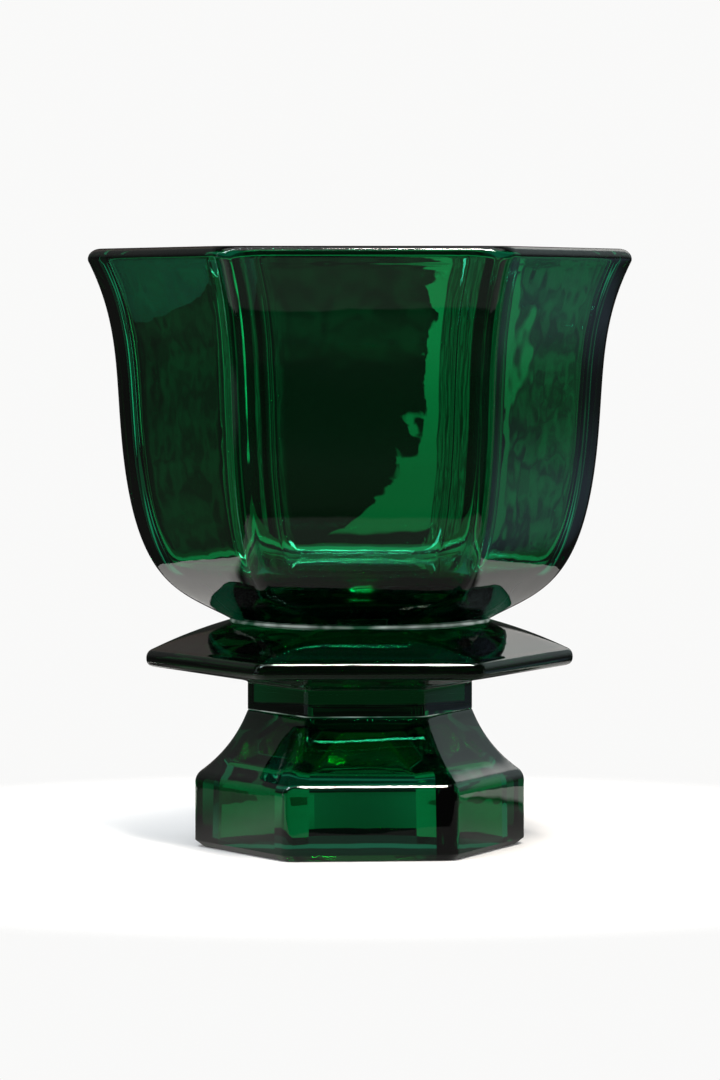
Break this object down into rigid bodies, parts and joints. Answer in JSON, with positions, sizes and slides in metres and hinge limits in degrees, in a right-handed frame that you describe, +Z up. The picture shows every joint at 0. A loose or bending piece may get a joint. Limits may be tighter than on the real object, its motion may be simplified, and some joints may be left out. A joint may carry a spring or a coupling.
{
  "type": "fruit bowl",
  "caption": "Footed fruit bowl of thick dark green glass: six-sided flared bowl on a hexagonal collar, a short neck and a hollow flared foot, fused end to end.",
  "frame": {"origin": "middle of the base, on the plane that the foot stands on", "axes": "+Z up along the bowl's axis; -Y out of the middle of one flat face of the bowl; two corners of the bowl lie on +X and -X"},
  "size_m": [0.191, 0.1676, 0.21],
  "materials": {
    "green_glass": "thick transparent dark green glass, fire polished, smooth and glossy"
  },
  "bodies": {
    "root": {"foot": "green_glass", "neck": "green_glass", "collar": "green_glass", "bowl": "green_glass"}
  },
  "joints": []
}
